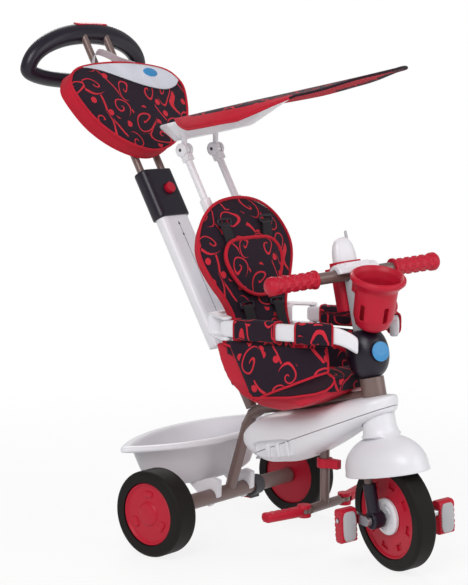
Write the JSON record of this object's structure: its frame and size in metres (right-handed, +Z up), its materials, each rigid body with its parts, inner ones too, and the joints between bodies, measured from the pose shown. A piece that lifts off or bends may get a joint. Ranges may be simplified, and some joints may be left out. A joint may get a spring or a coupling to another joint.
{
  "type": "toddler push-along trike",
  "caption": "Toddler push-along trike with a padded seat, safety arms, tilting sun canopy, rear bucket and a telescopic ring handle for an adult.",
  "frame": {"origin": "centre of the trike's outline on the floor, under its middle", "axes": "+X forward, +Y to the rider's left, +Z up"},
  "size_m": [0.9123, 0.475, 1.007],
  "materials": {
    "white_plastic": "satin moulded",
    "red_plastic": "satin moulded",
    "dark_plastic": "satin moulded",
    "grey_plastic": "moulded",
    "bush_plastic": "moulded",
    "painted_tube": "powder coat",
    "bright_steel": "plated",
    "tyre": "moulded",
    "printed_cloth": "printed weave",
    "red_cloth": "woven",
    "webbing": "woven strap"
  },
  "bodies": {
    "frame": {"axle_tube": "painted_tube", "axle_rod": "bright_steel", "spine_tube": "painted_tube", "head_tube": "painted_tube", "head_bushes": "bush_plastic", "body_shell_upper": "white_plastic", "body_shell_lower": "white_plastic", "body_screws": "bright_steel", "seat_shell": "red_plastic", "back_shell": "white_plastic", "back_pad": "printed_cloth", "insert_pad": "printed_cloth", "seat_cushion": "printed_cloth", "side_flaps": "printed_cloth", "harness_straps": "webbing", "canopy_poles": "white_plastic", "handle_post": "painted_tube", "handle_casing": "white_plastic", "handle_collar": "dark_plastic", "bucket": "white_plastic", "footrest_post": "painted_tube"},
    "arm_right": {"arm_right": "white_plastic", "sleeves_right": "printed_cloth"},
    "arm_left": {"arm_left": "white_plastic", "sleeves_left": "printed_cloth"},
    "canopy": {"canopy_base": "white_plastic", "canopy_cloth": "red_cloth"},
    "push_handle": {"handle_tubes": "painted_tube", "handle_ring": "dark_plastic", "bag": "printed_cloth"},
    "collar_button": {"collar_button": "red_plastic"},
    "handle_button": {"handle_button": "red_plastic"},
    "brake_lever": {"brake_lever": "red_plastic"},
    "footrest_lock": {"footrest_lock": "red_plastic"},
    "peg_right": {"peg_right": "red_plastic"},
    "peg_left": {"peg_left": "red_plastic"},
    "front_end": {"fork": "painted_tube", "fork_sleeves": "dark_plastic", "fender": "white_plastic", "head_cover": "dark_plastic", "stem_column": "grey_plastic", "handlebar": "painted_tube", "grips": "red_plastic", "clamp_cover": "white_plastic", "basket": "red_plastic", "phone_cradle": "red_plastic", "side_knob": "red_plastic"},
    "toy_phone": {"toy_phone": "white_plastic"},
    "front_wheel": {"front_tyre": "tyre", "front_hub": "red_plastic", "hub_caps": "white_plastic", "crankshaft": "bright_steel"},
    "pedal_right": {"pedal_right": "red_plastic"},
    "pedal_left": {"pedal_left": "red_plastic"},
    "rear_wheel_right": {"rear_tyre_right": "tyre", "rear_hub_right": "red_plastic"},
    "rear_wheel_left": {"rear_tyre_left": "tyre", "rear_hub_left": "red_plastic"}
  },
  "joints": [
    {"name": "steering", "type": "hinge", "parent": "frame", "child": "front_end", "pos_m": [0.35508, 0, 0.10265], "axis": [-0.2164, 0, 0.9763], "range_deg": [-21, 59]},
    {"name": "front_wheel_spin", "type": "hinge", "parent": "front_end", "child": "front_wheel", "pos_m": [0.35508, 0, 0.10265], "axis": [0.3179, 0.9455, 0.0705], "continuous": true},
    {"name": "pedal_right_spin", "type": "hinge", "parent": "front_wheel", "child": "pedal_right", "pos_m": [0.32, 0.01176, 0.10307], "axis": [0.3179, 0.9455, 0.0705], "continuous": true},
    {"name": "pedal_left_spin", "type": "hinge", "parent": "front_wheel", "child": "pedal_left", "pos_m": [0.39016, -0.01176, 0.10222], "axis": [0.3179, 0.9455, 0.0705], "continuous": true},
    {"name": "rear_wheel_right_spin", "type": "hinge", "parent": "frame", "child": "rear_wheel_right", "pos_m": [-0.04292, 0, 0.082], "axis": [0, 1, 0], "continuous": true},
    {"name": "rear_wheel_left_spin", "type": "hinge", "parent": "frame", "child": "rear_wheel_left", "pos_m": [-0.04292, 0, 0.082], "axis": [0, 1, 0], "continuous": true},
    {"name": "push_handle_slide", "type": "slide", "parent": "frame", "child": "push_handle", "axis": [-0.506, 0, 0.8625], "range_m": [0, 0.06]},
    {"name": "height_button", "type": "slide", "parent": "frame", "child": "collar_button", "axis": [-0.8625, 0, -0.506], "range_m": [0, 0.003], "stiffness_N_per_m": 800},
    {"name": "steering_lock_button", "type": "slide", "parent": "push_handle", "child": "handle_button", "axis": [-0.184, 0, -0.9829], "range_m": [0, 0.003], "stiffness_N_per_m": 800},
    {"name": "canopy_tilt", "type": "hinge", "parent": "frame", "child": "canopy", "pos_m": [-0.11792, 0, 0.755], "axis": [0, -1, 0], "range_deg": [-20, 12]},
    {"name": "arm_right_swing", "type": "hinge", "parent": "frame", "child": "arm_right", "pos_m": [0.06108, -0.13, 0.433], "axis": [0, 0, -1], "range_deg": [0, 60]},
    {"name": "arm_left_swing", "type": "hinge", "parent": "frame", "child": "arm_left", "pos_m": [0.06108, 0.13, 0.433], "axis": [0, 0, 1], "range_deg": [0, 60]},
    {"name": "peg_right_fold", "type": "hinge", "parent": "frame", "child": "peg_right", "pos_m": [0.19408, -0.062, 0.095], "axis": [0, 0, -1], "range_deg": [0, 76]},
    {"name": "peg_left_fold", "type": "hinge", "parent": "frame", "child": "peg_left", "pos_m": [0.19408, 0.062, 0.095], "axis": [0, 0, 1], "range_deg": [0, 76]},
    {"name": "footrest_lock_turn", "type": "hinge", "parent": "frame", "child": "footrest_lock", "pos_m": [0.19408, 0, 0.095], "axis": [0, 0, 1], "range_deg": [-60, 60]},
    {"name": "brake_lever_press", "type": "hinge", "parent": "frame", "child": "brake_lever", "pos_m": [-0.04292, 0, 0.082], "axis": [0, -1, 0], "range_deg": [0, 20]},
    {"name": "toy_phone_lift", "type": "slide", "parent": "front_end", "child": "toy_phone", "axis": [-0.2164, 0, 0.9763], "range_m": [0, 0.12]}
  ]
}
